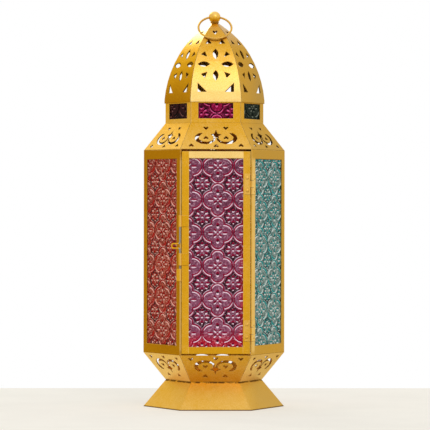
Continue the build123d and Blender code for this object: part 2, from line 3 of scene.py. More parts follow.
import bpy
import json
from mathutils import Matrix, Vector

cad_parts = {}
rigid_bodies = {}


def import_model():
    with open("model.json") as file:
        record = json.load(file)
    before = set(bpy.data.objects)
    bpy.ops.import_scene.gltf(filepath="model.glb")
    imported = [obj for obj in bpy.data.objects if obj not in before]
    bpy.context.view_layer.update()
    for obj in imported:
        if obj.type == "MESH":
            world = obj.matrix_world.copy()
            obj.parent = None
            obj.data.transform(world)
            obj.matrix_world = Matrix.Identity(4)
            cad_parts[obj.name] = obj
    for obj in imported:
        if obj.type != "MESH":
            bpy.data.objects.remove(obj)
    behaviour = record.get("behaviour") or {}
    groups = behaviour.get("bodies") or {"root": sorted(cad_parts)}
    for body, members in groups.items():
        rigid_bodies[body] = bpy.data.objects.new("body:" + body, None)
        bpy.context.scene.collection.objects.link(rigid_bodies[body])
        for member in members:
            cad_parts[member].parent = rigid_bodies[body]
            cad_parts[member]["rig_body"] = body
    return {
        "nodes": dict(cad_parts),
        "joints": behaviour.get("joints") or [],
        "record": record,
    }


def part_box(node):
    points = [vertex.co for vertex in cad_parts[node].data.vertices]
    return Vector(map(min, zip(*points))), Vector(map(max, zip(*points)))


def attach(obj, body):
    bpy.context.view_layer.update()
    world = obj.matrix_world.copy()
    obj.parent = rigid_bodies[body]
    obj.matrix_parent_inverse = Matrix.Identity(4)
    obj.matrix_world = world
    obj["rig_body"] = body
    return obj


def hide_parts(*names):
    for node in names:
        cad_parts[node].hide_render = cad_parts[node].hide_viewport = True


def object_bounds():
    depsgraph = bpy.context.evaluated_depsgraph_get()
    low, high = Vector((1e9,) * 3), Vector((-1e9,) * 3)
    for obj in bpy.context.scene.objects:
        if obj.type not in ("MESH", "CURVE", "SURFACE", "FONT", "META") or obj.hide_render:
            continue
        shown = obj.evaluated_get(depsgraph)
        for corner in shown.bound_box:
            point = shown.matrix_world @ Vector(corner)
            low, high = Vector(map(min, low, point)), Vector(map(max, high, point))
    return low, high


for start_object in list(bpy.data.objects):
    bpy.data.objects.remove(start_object)
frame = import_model()
cad_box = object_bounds()

import json
import math

import bmesh
import numpy as np
from bpy.props import FloatProperty, FloatVectorProperty, PointerProperty
from bpy.types import Operator, Panel, PropertyGroup
from mathutils import Matrix, Vector

bl_info = {
    "name": "Candle Lantern Dressing",
    "version": (1, 0, 0),
    "blender": (4, 5, 0),
    "location": "3D View > Sidebar > Lantern",
    "description": "Paints, glazes and fits out a hexagonal candle lantern on its fixed frame",
    "category": "Object",
}

FACES = ("front", "front_right", "back_right", "back", "back_left", "front_left")
SLOT_OF_NODE = {row["node"]: row["material_slot"] for row in frame["record"]["subparts"]}
BODY_OF_NODE = {name: node["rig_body"] for name, node in frame["nodes"].items()}
JOINTS = {joint["name"]: joint for joint in frame["joints"]}
MM = 0.001

# Height of the waist, at the top of the foot
WAIST_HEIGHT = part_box("foot_skirt")[1].z

# Width and focal length of the picture in pixels, and width of the sensor in millimetres
PICTURE_WIDTH, FOCAL_LENGTH, SENSOR_WIDTH = 430, 2688, 36


def screen_colour(red, green, blue):
    """A colour given as screen values from 0 to 255, as the light values that a shader takes."""
    shares = (value / 255 for value in (red, green, blue))
    return tuple(s / 12.92 if s <= 0.04045 else ((s + 0.055) / 1.055) ** 2.4 for s in shares)


# Sizes and colours that a user may change
def colour(name, description, *screen):
    """A colour whose default is given as screen values."""
    return FloatVectorProperty(
        name=name, description=description, subtype="COLOR", size=3, min=0, max=1,
        default=screen_colour(*screen),
    )


def length(name, description, default, high=1.0):
    """A length in metres."""
    return FloatProperty(
        name=name, description=description, subtype="DISTANCE", unit="LENGTH", min=0, max=high,
        default=default,
    )


def share(name, description, default, high=1.0):
    """A plain factor."""
    return FloatProperty(
        name=name, description=description, subtype="FACTOR", min=0, max=high, default=default
    )


def power(name, description, default):
    """The power of a lamp in watts."""
    return FloatProperty(
        name=name, description=description, subtype="POWER", unit="POWER", min=0, default=default
    )


class LanternPaint(PropertyGroup):
    """Colours and grain of the painted sheet, and colours of the bare wire."""

    rich: colour("Rich gold", "Deepest tone of the paint", 166, 108, 2)
    warm: colour("Warm gold", "Middle tone of the paint", 219, 161, 30)
    pale: colour("Pale gold", "Lightest tone of the paint", 252, 217, 138)
    # Painted grey reflection on the duller pieces and toward the right side
    grey_reflection: colour("Dull gold", "Paint that went on dry and grey", 172, 138, 78)
    # Dark brown of paint specks, and of painted shade under edges that look down
    speck_and_shade: colour("Rubbed edge", "Paint rubbed thin along cut edges", 112, 66, 10)
    # Painted shade: dark brown for sheltered places, the inside, the waist gap and the foot's rim
    painted_shade: colour("Soot", "Smoke inside the lantern", 70, 28, 14)
    steel: colour("Bare wire", "Zinc grey of the bolt and pins", 150, 147, 140)
    rust: colour("Wire stain", "Brown film in the wire's low spots", 92, 70, 48)
    grain: length("Grain", "Depth of the grain in the paint", 0.00005, 0.001)


class LanternGlass(PropertyGroup):
    """Pattern and colours of the pressed panes."""

    repeat_wide: length("Repeat across", "Width of one quatrefoil and its share of cell", 0.0303)
    repeat_high: length("Repeat up", "Height of one quatrefoil and its share of cell", 0.0326)
    depth: length("Relief", "Depth of the outline groove", 0.00105, 0.002)
    grid: length("Grid", "Spacing of the points that carry the relief", 0.0005, 0.004)
    pink_light: colour("Pink light", "Light caught by the pink glass", 255, 226, 244)
    pink_field: colour("Pink field", "Raised pink glass", 162, 90, 122)
    pink_cell: colour("Pink cell", "Sunk pink glass in the cells", 74, 20, 42)
    pink_groove: colour("Pink groove", "Deep lines in the pink glass", 176, 0, 64)
    pink_shade: colour("Pink shade", "Darkest of the pink glass", 24, 6, 12)
    red_light: colour("Red light", "Light caught by the red glass", 255, 192, 172)
    red_field: colour("Red field", "Raised red glass", 196, 82, 56)
    red_cell: colour("Red cell", "Sunk red glass in the cells", 112, 26, 14)
    red_groove: colour("Red groove", "Deep lines in the red glass", 196, 12, 4)
    red_shade: colour("Red shade", "Darkest of the red glass", 40, 8, 4)
    teal_light: colour("Teal light", "Light caught by the teal glass", 214, 220, 214)
    teal_field: colour("Teal field", "Raised teal glass", 138, 160, 152)
    teal_cell: colour("Teal cell", "Sunk teal glass in the cells", 62, 104, 100)
    teal_groove: colour("Teal groove", "Deep lines in the teal glass", 0, 166, 166)
    teal_shade: colour("Teal shade", "Darkest of the teal glass", 10, 32, 32)
    # The neck's glass is the pink, red and teal glass darkened by painted shade
    neck_pink_light: colour("Neck pink light", "Light caught by the neck pink glass", 244, 90, 160)
    neck_pink_field: colour("Neck pink field", "Raised neck pink glass", 190, 16, 84)
    neck_pink_cell: colour("Neck pink cell", "Sunk neck pink glass in the cells", 88, 0, 38)
    neck_pink_groove: colour("Neck pink groove", "Deep lines in the neck pink glass", 56, 0, 18)
    neck_pink_shade: colour("Neck pink shade", "Darkest of the neck pink glass", 34, 0, 14)
    neck_red_light: colour("Neck red light", "Light caught by the neck red glass", 110, 46, 36)
    neck_red_field: colour("Neck red field", "Raised neck red glass", 58, 12, 8)
    neck_red_cell: colour("Neck red cell", "Sunk neck red glass in the cells", 34, 6, 6)
    neck_red_groove: colour("Neck red groove", "Deep lines in the neck red glass", 14, 0, 0)
    neck_red_shade: colour("Neck red shade", "Darkest of the neck red glass", 12, 2, 2)
    neck_teal_light: colour("Neck teal light", "Light caught by the neck teal glass", 110, 116, 96)
    neck_teal_field: colour("Neck teal field", "Raised neck teal glass", 36, 44, 28)
    neck_teal_cell: colour("Neck teal cell", "Sunk neck teal glass in the cells", 18, 34, 28)
    neck_teal_groove: colour("Neck teal groove", "Deep lines in the neck teal glass", 4, 18, 16)
    neck_teal_shade: colour("Neck teal shade", "Darkest of the neck teal glass", 4, 10, 8)
    # Painted light: red light let through along the pink glass's lower edge and one side
    glow: colour("Glow", "Red of the pink glass along its lower edge", 216, 22, 44)


class LanternFittings(PropertyGroup):
    """Sizes of the small fittings."""

    rivet_radius: length("Rivet radius", "Radius of a rivet's head", 0.0016, 0.01)
    rivet_rise: length("Rivet rise", "Height of a rivet's head", 0.0007, 0.01)
    ring_wire: length("Ring wire", "Radius of the hanging ring's wire", 0.001, 0.01)
    bolt_wire: length("Bolt wire", "Radius of the latch bolt's wire", 0.0008, 0.01)
    bolt_bend: length("Bolt bend", "Radius of the bends in the bolt's handle", 0.0017, 0.01)
    ball: length("Ball", "Radius of the finial's ball", 0.00584, 0.02)
    ball_hole: length("Ball hole", "Radius of the hole that the ring hangs in", 0.00174, 0.01)
    bead: length("Bead", "Radius of the bead under the ball", 0.0043, 0.02)
    shank: length("Shank", "Radius of the shank that goes through the apex", 0.002, 0.01)


class LanternStage(PropertyGroup):
    """Place of the camera, colour of the floor and strength of the light."""

    away: length("Camera distance", "From the lantern's axis to the camera", 2.688, 10)
    height: length("Camera height", "Height of the camera above the floor", 0.2017, 5)
    turn: FloatProperty(
        name="Camera turn", description="Angle of the camera to the left of the front",
        subtype="ANGLE", unit="ROTATION", default=math.radians(1.76),
    )
    roll: FloatProperty(
        name="Camera roll", description="Tilt of the picture", subtype="ANGLE", unit="ROTATION",
        default=math.radians(0.14),
    )
    lens: FloatProperty(
        name="Lens", description="Focal length in millimetres", subtype="DISTANCE_CAMERA",
        unit="CAMERA", min=10, default=SENSOR_WIDTH * FOCAL_LENGTH / PICTURE_WIDTH,
    )
    floor: colour("Floor", "Pale stone of the floor", 250, 246, 236)
    ambient: share("Ambient", "Light from the room on the lantern", 0.75, 2)
    key: power("Key", "Power of the front lamp", 9)
    rim: power("Rim", "Power of the lamp behind", 6)
    inside: power("Inside", "Power of the lamp that stands for daylight through the panes", 0.06)


# Shader nodes
class Socket:
    """An output of a node; arithmetic on it adds Math nodes."""

    def __init__(self, finish, socket):
        self.finish = finish
        self.socket = socket

    def math(self, operation, first, second=0.0):
        """Add one Math node."""
        made = self.finish.add("ShaderNodeMath", {"operation": operation}, {0: first, 1: second})
        return made["Value"]

    def __add__(self, other):
        return self.math("ADD", self, other)

    def __sub__(self, other):
        return self.math("SUBTRACT", self, other)

    def __rsub__(self, other):
        return self.math("SUBTRACT", other, self)

    def __mul__(self, other):
        return self.math("MULTIPLY", self, other)

    def __neg__(self):
        return 0 - self

    def __abs__(self):
        return self.math("ABSOLUTE", self)

    __radd__ = __add__
    __rmul__ = __mul__


class Node:
    """A node whose outputs are reached by name or place."""

    def __init__(self, finish, node):
        self.finish = finish
        self.node = node

    def __getitem__(self, key):
        return Socket(self.finish, self.node.outputs[key])


class Finish:
    """A node tree under construction."""

    def __init__(self, tree):
        self.tree = tree
        tree.nodes.clear()

    def add(self, kind, settings=None, sockets=None):
        """Add a node: its settings come first, then the values or links of its sockets."""
        node = self.tree.nodes.new(kind)
        for key, value in (settings or {}).items():
            setattr(node, key, value)
        for key, value in (sockets or {}).items():
            if isinstance(value, Socket):
                self.tree.links.new(value.socket, node.inputs[key])
            else:
                node.inputs[key].default_value = value
        return Node(self, node)

    def spread(self, value, low, high):
        """A value's stretch from low to high as a smooth step from 0 to 1."""
        return self.add(
            "ShaderNodeMapRange", {"interpolation_type": "SMOOTHSTEP"},
            {"Value": value, "From Min": low, "From Max": high},
        )["Result"]

    def band(self, value, low, low_full, high_full, high):
        """1 between the two full values, falling smoothly to 0 at low and at high."""
        return self.spread(value, low, low_full) * (1 - self.spread(value, high_full, high))

    def mix(self, factor, first, second):
        """A colour between two colours."""
        pair = [c if isinstance(c, Socket) else (*c[:3], 1) for c in (first, second)]
        return self.add(
            "ShaderNodeMix", {"data_type": "RGBA"}, {0: factor, 6: pair[0], 7: pair[1]}
        )[2]

    def split(self, vector):
        """A node with a vector's X, Y and Z."""
        return self.add("ShaderNodeSeparateXYZ", None, {"Vector": vector})

    def place(self):
        """Where a point lies in its piece's own frame, in metres."""
        return self.add("ShaderNodeTexCoord")["Object"]

    def stored(self, name):
        """A value that is stored on the mesh's points."""
        return self.add("ShaderNodeAttribute", {"attribute_name": name})["Fac"]

    def noise(self, size, detail=2.0, rough=0.5):
        """Clouds about this many metres across, as a value near 0.5."""
        return self.add(
            "ShaderNodeTexNoise", None,
            {"Vector": self.place(), "Scale": 1 / size, "Detail": detail, "Roughness": rough},
        )["Fac"]

    def bump(self, height, distance, strength=1.0):
        """A normal bent by a height from 0 to 1 that stands for this many metres."""
        sockets = {"Height": height, "Distance": distance, "Strength": strength}
        return self.add("ShaderNodeBump", None, sockets)["Normal"]

    def principled(self, **sockets):
        """Close the tree with one principled shader."""
        named = {key.replace("_", " "): value for key, value in sockets.items()}
        shader = self.add("ShaderNodeBsdfPrincipled", None, named)
        self.add("ShaderNodeOutputMaterial", None, {"Surface": shader["BSDF"]})


def new_finish(name):
    """A material, and its node tree to be filled."""
    material = bpy.data.materials.new(name)
    material.use_nodes = True
    return material, Finish(material.node_tree)


def door_side_highlight(f, where):
    """How strong the painted highlight is on the upright strips beside the door, by place in
    metres.
    """
    hinge_side = f.band(where["X"], 0.0352, 0.0355, 0.038, 0.0385)
    latch_side = f.band(where["X"], -0.0358, -0.0353, -0.0341, -0.0339)
    strips = hinge_side * 0.5 + latch_side * 0.35
    in_front = f.spread(where["Y"], -0.05, -0.055)
    return strips * in_front * f.band(where["Z"], 0.054, 0.06, 0.243, 0.249)


def joint_and_rim_shade(f, where, brush):
    """Painted shade in dark lines round the waist gap, in patches, and a painted contact shadow
    round the foot's rim.
    """
    at_waist = 1 - f.spread(abs(where["Z"] - WAIST_HEIGHT), 0.0004, 0.0011)
    at_rim = 1 - f.spread(where["Z"], 0.0004, 0.0013)
    return at_waist * f.spread(brush, 0.42, 0.5) + at_rim


def gold_paint(paint):
    """Metallic gold paint on thin sheet: clouded, grained, specked, with painted light and shade by
    piece, on its cut edges and where it is sheltered.
    """
    material, f = new_finish("gold_paint_finish")
    where = f.split(f.place())
    rise = f.split(f.add("ShaderNodeTexCoord")["Generated"])["Z"]
    clouds = f.noise(size=0.045, detail=3)
    brush = f.noise(size=0.006, detail=4, rough=0.6)
    grain = f.noise(size=0.0011, detail=2, rough=0.6)
    specks = f.spread(f.noise(size=0.0022, detail=1), 0.74, 0.8)

    # A piece's own colour holds its painted light, as its tone at the foot and at the head, its
    # painted grey reflection and its varnish
    piece = f.add("ShaderNodeObjectInfo")
    painted_light_tones = f.add("ShaderNodeSeparateColor", None, {"Color": piece["Color"]})
    tone = painted_light_tones["Red"] * (1 - rise) + painted_light_tones["Green"] * rise
    lightness = tone + (clouds - 0.5) * 0.2 + (brush - 0.5) * 0.16 + (grain - 0.5) * 0.4
    low_tone = f.mix(lightness * 2, paint.rich, paint.warm)
    sheet = f.mix(lightness * 2 - 1, low_tone, paint.pale)
    # Painted grey reflection: each piece's share, and more of it toward the right side
    painted_dullness = (painted_light_tones["Blue"] + f.spread(where["X"], 0.026, 0.044) * 0.35) * (0.6 + clouds * 0.8)
    dulled = f.mix(painted_dullness, sheet, paint.grey_reflection)
    door_highlit = f.mix(door_side_highlight(f, where), dulled, paint.pale)

    # Painted highlights make cut edges shine, and those that look down get painted shade
    soft_edge = f.add("ShaderNodeBevel", {"samples": 4}, {"Radius": 0.0009})["Normal"]
    facing = f.add("ShaderNodeNewGeometry")["Normal"]
    along = f.add("ShaderNodeVectorMath", {"operation": "DOT_PRODUCT"}, {0: soft_edge, 1: facing})
    bend = f.add("ShaderNodeVectorMath", {"operation": "SUBTRACT"}, {0: soft_edge, 1: facing})
    edge = f.spread(1 - along["Value"], 0.02, 0.2) * f.spread(brush, 0.34, 0.5)
    downward = f.spread(-f.split(bend["Vector"])["Z"], 0.03, 0.22)
    bright = f.mix(edge * 0.6, door_highlit, paint.pale)
    edge_shaded = f.mix(downward * 0.95, bright, paint.speck_and_shade)
    line_shaded = f.mix(joint_and_rim_shade(f, where, brush) * 0.85, edge_shaded, paint.painted_shade)
    specked = f.mix(specks * 0.3, line_shaded, paint.speck_and_shade)

    # Painted shade where the sheet is sheltered and inside the lantern, and more of it higher up
    openness = f.add("ShaderNodeAmbientOcclusion", {"samples": 8}, {"Distance": 0.12})["AO"]
    painted_shade = 1 - f.spread(openness, 0.06, 0.32)
    shade_by_height = 0.15 + f.spread(where["Z"], 0.05, 0.2) * 0.77
    f.principled(
        Base_Color=f.mix(painted_shade * shade_by_height, specked, paint.painted_shade),
        Metallic=0.95 - painted_shade * 0.75,
        Roughness=0.3 + brush * 0.16 + edge * 0.15 + painted_shade * 0.3,
        Normal=f.bump(grain * 0.6 + brush * 0.8, distance=paint.grain, strength=0.7),
        Specular_Tint=(1.0, 0.82, 0.45, 1.0),
        Coat_Weight=f.spread(rise, 0.62, 0.95) * piece["Alpha"],
        Coat_Roughness=0.2,
    )
    return material


def bare_wire(paint):
    """Drawn wire with a brown film in patches, and gold paint where nothing rubs it off."""
    material, f = new_finish("bare_wire_finish")
    film = f.spread(f.noise(size=0.006, detail=4, rough=0.65), 0.5, 0.68)
    marks = f.noise(size=0.0007, detail=3)
    painted = f.spread(f.stored("paint_left") + (marks - 0.5) * 0.4, 0.3, 0.6)
    bare = f.mix(film * 0.6, paint.steel, paint.rust)
    f.principled(
        Base_Color=f.mix(painted, bare, paint.warm),
        Metallic=0.9,
        Roughness=0.28 + film * 0.3 + marks * 0.1,
        Normal=f.bump(marks, distance=0.00003),
    )
    return material


def pressed_glass(name, sheen, speckle, light, field, cell, groove, shade, glow=None):
    """Coloured glass: its tone follows the pressing's depth, and slopes that look up get painted
    light.
    """
    material, f = new_finish(f"{name}_finish")
    where = f.split(f.place())
    depth, slope = f.stored("press_depth"), f.stored("press_slope")
    seeds = f.noise(size=0.0016, detail=3, rough=0.6)
    clouds = f.noise(size=0.03, detail=2)
    blotch = f.spread(f.noise(size=0.007, detail=3, rough=0.6), 0.4, 0.62)
    fleck = f.spread(f.noise(size=0.0017, detail=2, rough=0.7), 0.38, 0.62)
    grit = f.noise(size=0.0015, detail=1)

    # Raised field and sunk cells, with a painted red glow along the foot and one side where there
    # is one
    hollow = f.mix(blotch * 0.85, cell, shade)
    tone = f.mix(f.spread(depth, 0.26, 0.5), field, hollow)
    if glow:
        foot = 1 - f.spread(where["Z"], 0.062, 0.084)
        side = f.spread(where["X"], 0.019, 0.027) * (1 - f.spread(where["Z"], 0.12, 0.24))
        tone = f.mix(f.spread(foot + side * 0.7, 0.0, 1.0) * 0.85, tone, glow)

    # Mottling, with painted shade that darkens the pane toward its top, and grit
    high = f.spread(where["Z"], 0.1, 0.25)
    mottle = fleck * 0.35 + f.spread(clouds, 0.42, 0.7) * 0.25 + high * 0.25
    mottled = f.mix(mottle, tone, cell)
    dark_grit = f.mix((1 - f.spread(grit, 0.34, 0.46)) * speckle, mottled, shade)
    gritty = f.mix(f.spread(grit, 0.56, 0.68) * speckle * 0.7, dark_grit, light)

    # Crests with a painted highlight, grooves and pits by depth, then painted shade on the sides
    # that look down and painted light on those that look up
    crested = f.mix((1 - f.spread(depth, 0.0, 0.1)) * 0.25, gritty, light)
    sunk = f.mix(f.spread(depth, 0.5, 0.85), crested, groove)
    pitted = f.mix(f.spread(depth, 0.86, 1.04), sunk, shade)
    down_slope_shade = f.mix(f.spread(-slope, 0.1, 0.4) * 0.85, pitted, groove)
    shaded = f.mix(f.spread(-slope, 0.45, 0.8) * 0.7, down_slope_shade, shade)
    lit = f.spread(slope + (seeds - 0.5) * 0.3, 0.23, 0.4)
    f.principled(
        Base_Color=f.mix(lit, shaded, light),
        Roughness=0.12 + seeds * 0.16,
        Normal=f.bump(seeds, distance=0.00012, strength=0.5),
        Coat_Weight=sheen + lit * 0.5,
        Coat_Roughness=0.06,
        Specular_IOR_Level=0.0,
        Transmission_Weight=0.1,
        IOR=1.52,
    )
    return material


# Mesh helpers
def new_piece(name, mesh, material, body, slot, *stands_for):
    """Put a mesh into the scene on a body, in place of the nodes that it stands for."""
    piece = bpy.data.objects.new(name, mesh)
    bpy.context.scene.collection.objects.link(piece)
    mesh.materials.append(material)
    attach(piece, body)
    if stands_for:
        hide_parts(*stands_for)
    return piece


def mesh_from(name, bm, smooth_angle=math.radians(35)):
    """Close a bmesh into a mesh that is smooth up to this angle."""
    bmesh.ops.recalc_face_normals(bm, faces=bm.faces)
    mesh = bpy.data.meshes.new(name)
    bm.to_mesh(mesh)
    bm.free()
    mesh.shade_smooth()
    mesh.set_sharp_from_angle(angle=smooth_angle)
    return mesh


def turned(bm, profile, steps, place):
    """Turn a profile of radii and heights round an axis; radius 0 closes an end to a point."""
    rings = []
    for radius, rise in profile:
        turns = [2 * math.pi * step / steps for step in range(steps if radius else 1)]
        rings.append([
            bm.verts.new(place @ Vector((radius * math.cos(t), radius * math.sin(t), rise)))
            for t in turns
        ])
    for low, high in zip(rings, rings[1:]):
        for step in range(steps):
            corners = [low[step % len(low)], low[(step + 1) % len(low)]]
            corners += [high[(step + 1) % len(high)], high[step % len(high)]]
            bm.faces.new(list(dict.fromkeys(corners)))
    return rings


def tube(bm, path, radius, steps, closed):
    """A round tube along points that all lie in one plane."""
    points = [Vector(p) for p in path]
    count = len(points)
    one_third, two_thirds = (points[third * count // 3] - points[0] for third in (1, 2))
    normal = one_third.cross(two_thirds).normalized()
    rings = []
    for place, point in enumerate(points):
        before = points[place - 1] if closed or place else point
        after = points[(place + 1) % count] if closed or place + 1 < count else point
        side = (after - before).normalized().cross(normal)
        turns = (2 * math.pi * step / steps for step in range(steps))
        rings.append([
            bm.verts.new(point + side * radius * math.cos(t) + normal * radius * math.sin(t))
            for t in turns
        ])
    pairs = zip(rings, rings[1:] + rings[:1]) if closed else zip(rings, rings[1:])
    for low, high in pairs:
        for step in range(steps):
            bm.faces.new((low[step - 1], low[step], high[step], high[step - 1]))
    if not closed:
        bm.faces.new(rings[0])
        bm.faces.new(rings[-1])


def rounded(corners, radius, steps=8):
    """The corners of a square bent line, each replaced by points on an arc."""
    places = [Vector(c) for c in corners]
    line = [places[0]]
    for before, corner, after in zip(places, places[1:], places[2:]):
        back, ahead = (before - corner).normalized(), (after - corner).normalized()
        middle = corner + (back + ahead) * radius
        for step in range(steps + 1):
            t = math.pi / 2 * step / steps
            line.append(middle - ahead * radius * math.cos(t) - back * radius * math.sin(t))
    return line + [places[-1]]


def soften(mesh, angle):
    """Shade a node's triangles smooth across bends up to this angle, and leave its points."""
    points = np.empty(len(mesh.vertices) * 3)
    mesh.vertices.foreach_get("co", points)

    # Corners that agree to a micrometre count as one point
    keys = np.round(points.reshape(-1, 3) * 1e6).astype(np.int64)
    corner_points = np.empty(len(mesh.loops), np.int64)
    mesh.loops.foreach_get("vertex_index", corner_points)
    groups = np.unique(keys, axis=0, return_inverse=True)[1].reshape(-1)[corner_points]
    faces = np.repeat(np.arange(len(mesh.polygons)), 3)

    # At each point the faces within the angle share a normal, weighed by their areas
    normals = np.empty(len(mesh.polygons) * 3)
    mesh.polygons.foreach_get("normal", normals)
    normals = normals.reshape(-1, 3)
    areas = np.empty(len(mesh.polygons))
    mesh.polygons.foreach_get("area", areas)
    order = np.argsort(groups, kind="stable")
    smooth = np.empty((len(mesh.loops), 3))
    for group in np.split(order, np.flatnonzero(np.diff(groups[order])) + 1):
        near = normals[faces[group]]
        weights = (near @ near.T > math.cos(angle)) * areas[faces[group]]
        total = weights @ near
        smooth[group] = total / np.linalg.norm(total, axis=1, keepdims=True)
    mesh.polygons.foreach_set("use_smooth", np.ones(len(mesh.polygons), bool))
    mesh.normals_split_custom_set(smooth.tolist())


# Pattern of the pressed glass, in millimetres
def dent(across, along, half_across, half_along):
    """A flat-bottomed oval hollow, 1 in its middle and 0 outside."""
    return np.exp(-(((across / half_across) ** 2 + (along / half_along) ** 2) ** 2))


def ridge(distance, half):
    """A rounded ridge, 1 where the distance is 0."""
    return np.exp(-((distance / half) ** 2))


def press_pattern(x, y, wide, high):
    """Depth of the quatrefoils and of the flowered cells between them; the outline groove is 1."""
    tile_x = ((x / wide + 0.5) % 1 - 0.5) * wide
    tile_y = ((y / high + 0.5) % 1 - 0.5) * high
    abs_x, abs_y = np.abs(tile_x), np.abs(tile_y)

    # Lobes are parts of circles; the depth runs in steps from inside their outline to the cells
    side_out, side_radius, end_out, end_radius = 6.1, 8.2, 9.4, 6.1
    side_lobe = np.hypot(abs_x - side_out, abs_y) - side_radius
    end_lobe = np.hypot(abs_x, abs_y - end_out) - end_radius
    outline = np.minimum(side_lobe, end_lobe)
    steps = np.array([-3.2, -2.0, -1.1, 0.0, 1.1, 2.0])
    depths = np.array([0.2, 0.24, 0.04, 1.0, 0.0, 0.5])
    depth = np.interp(outline, steps, depths)
    cell = np.clip((outline - 1.1) / 0.8, 0, 1)
    within = 1 - np.clip((outline + 1.8) / 0.8, 0, 1)

    # Within a quatrefoil: a hollow in each lobe and between the lobes, ringed by ridges
    slant_out, slant_by = (abs_x + abs_y) / math.sqrt(2), (abs_x - abs_y) / math.sqrt(2)
    hollows = 1.4 * dent(abs_x, abs_y - 7.6, 1.4, 2.0)
    hollows += dent(abs_x - 7.0, abs_y, 2.4, 0.85)
    hollows += 1.2 * dent(slant_out - 3.6, slant_by, 1.7, 0.95)
    hollows += 0.8 * dent(tile_x, tile_y, 0.75, 0.75)
    ridges = ridge(np.hypot(tile_x, tile_y) - 1.5, 0.5)
    ridges += 0.6 * ridge(np.hypot(abs_x, (abs_y - 7.5) / 1.5) - 2.1, 0.6)
    ridges += 0.6 * ridge(np.hypot((abs_x - 7.0) / 2.2, abs_y) - 1.6, 0.5)
    depth += within * (0.75 * hollows - 0.2 * ridges)

    # In a cell: a flower of eight raised petals with sunk seeds round it
    cell_x, cell_y = ((x / wide) % 1 - 0.5) * wide, ((y / high) % 1 - 0.5) * high
    from_cell = np.hypot(cell_x, cell_y)
    turn = np.arctan2(cell_y, cell_x)
    eighth = math.pi / 4
    off_seed = (turn + eighth / 2) % eighth - eighth / 2
    off_petal = turn % eighth - eighth / 2
    seeds = dent(from_cell * np.cos(off_seed) - 5.8, from_cell * np.sin(off_seed), 1.4, 1.0)
    seeds += dent(cell_x, cell_y, 0.8, 0.8)
    petals = dent(from_cell * np.cos(off_petal) - 4.1, from_cell * np.sin(off_petal), 2.1, 0.9)
    petals += ridge(from_cell - 1.8, 0.6)
    depth += cell * (0.65 * seeds - 0.38 * petals)
    return np.clip(depth, 0, 1.25)


def quads_of(index):
    """The faces of a grid of points."""
    corners = (index[:-1, :-1], index[:-1, 1:], index[1:, 1:], index[1:, :-1])
    return np.stack(corners, axis=-1).reshape(-1, 4).tolist()


def rim_of(index):
    """The points round the edge of a grid, in order."""
    return np.concatenate([index[0, :-1], index[:-1, -1], index[-1, :0:-1], index[:0:-1, 0]])


def relief_slab(name, half, low, top, outer, thick, turn, shift, glass):
    """A pane with the pattern pressed into its outer side; the flat inner side is coarser."""
    wide, high = 2 * round(half / glass.grid), 2 * round((top - low) / glass.grid / 2)
    x, z = np.meshgrid(np.linspace(-half, half, wide + 1), np.linspace(low, top, high + 1))
    pattern = press_pattern(
        (x - shift[0]) / MM, (z - shift[1]) / MM, glass.repeat_wide / MM, glass.repeat_high / MM
    )
    slope = np.gradient(pattern, glass.grid / MM, axis=0)
    rim = np.minimum(half - np.abs(x), np.minimum(z - low, top - z))
    flat_rim = 1.5 * MM
    depth = pattern * glass.depth * np.clip(rim / flat_rim, 0, 1)
    front = np.stack([x, depth - outer, z], axis=-1)
    back = front[::2, ::2].copy()
    back[..., 1] = thick - outer
    index = np.arange(x.size).reshape(x.shape)
    back_index = np.arange(back.size // 3).reshape(back.shape[:2]) + x.size
    loop, back_loop = rim_of(index), rim_of(back_index)
    next_loop, next_back = np.roll(loop, -2)[::2], np.roll(back_loop, -1)
    sides = np.stack([loop[::2], back_loop, next_back, next_loop, loop[1::2]], axis=-1)
    faces = quads_of(index) + [quad[::-1] for quad in quads_of(back_index)] + sides.tolist()
    points = np.concatenate([front.reshape(-1, 3), back.reshape(-1, 3)])
    spin = np.array(Matrix.Rotation(turn, 3, "Z"))
    mesh = bpy.data.meshes.new(name)
    mesh.from_pydata(points @ spin.T, [], faces)
    for attribute, values in (("press_depth", pattern), ("press_slope", slope)):
        layer = mesh.attributes.new(attribute, "FLOAT", "POINT")
        layer.data.foreach_set("value", np.concatenate([values.ravel(), values[::2, ::2].ravel()]))
    mesh.shade_smooth()
    mesh.set_sharp_from_angle(angle=math.radians(60))
    return mesh


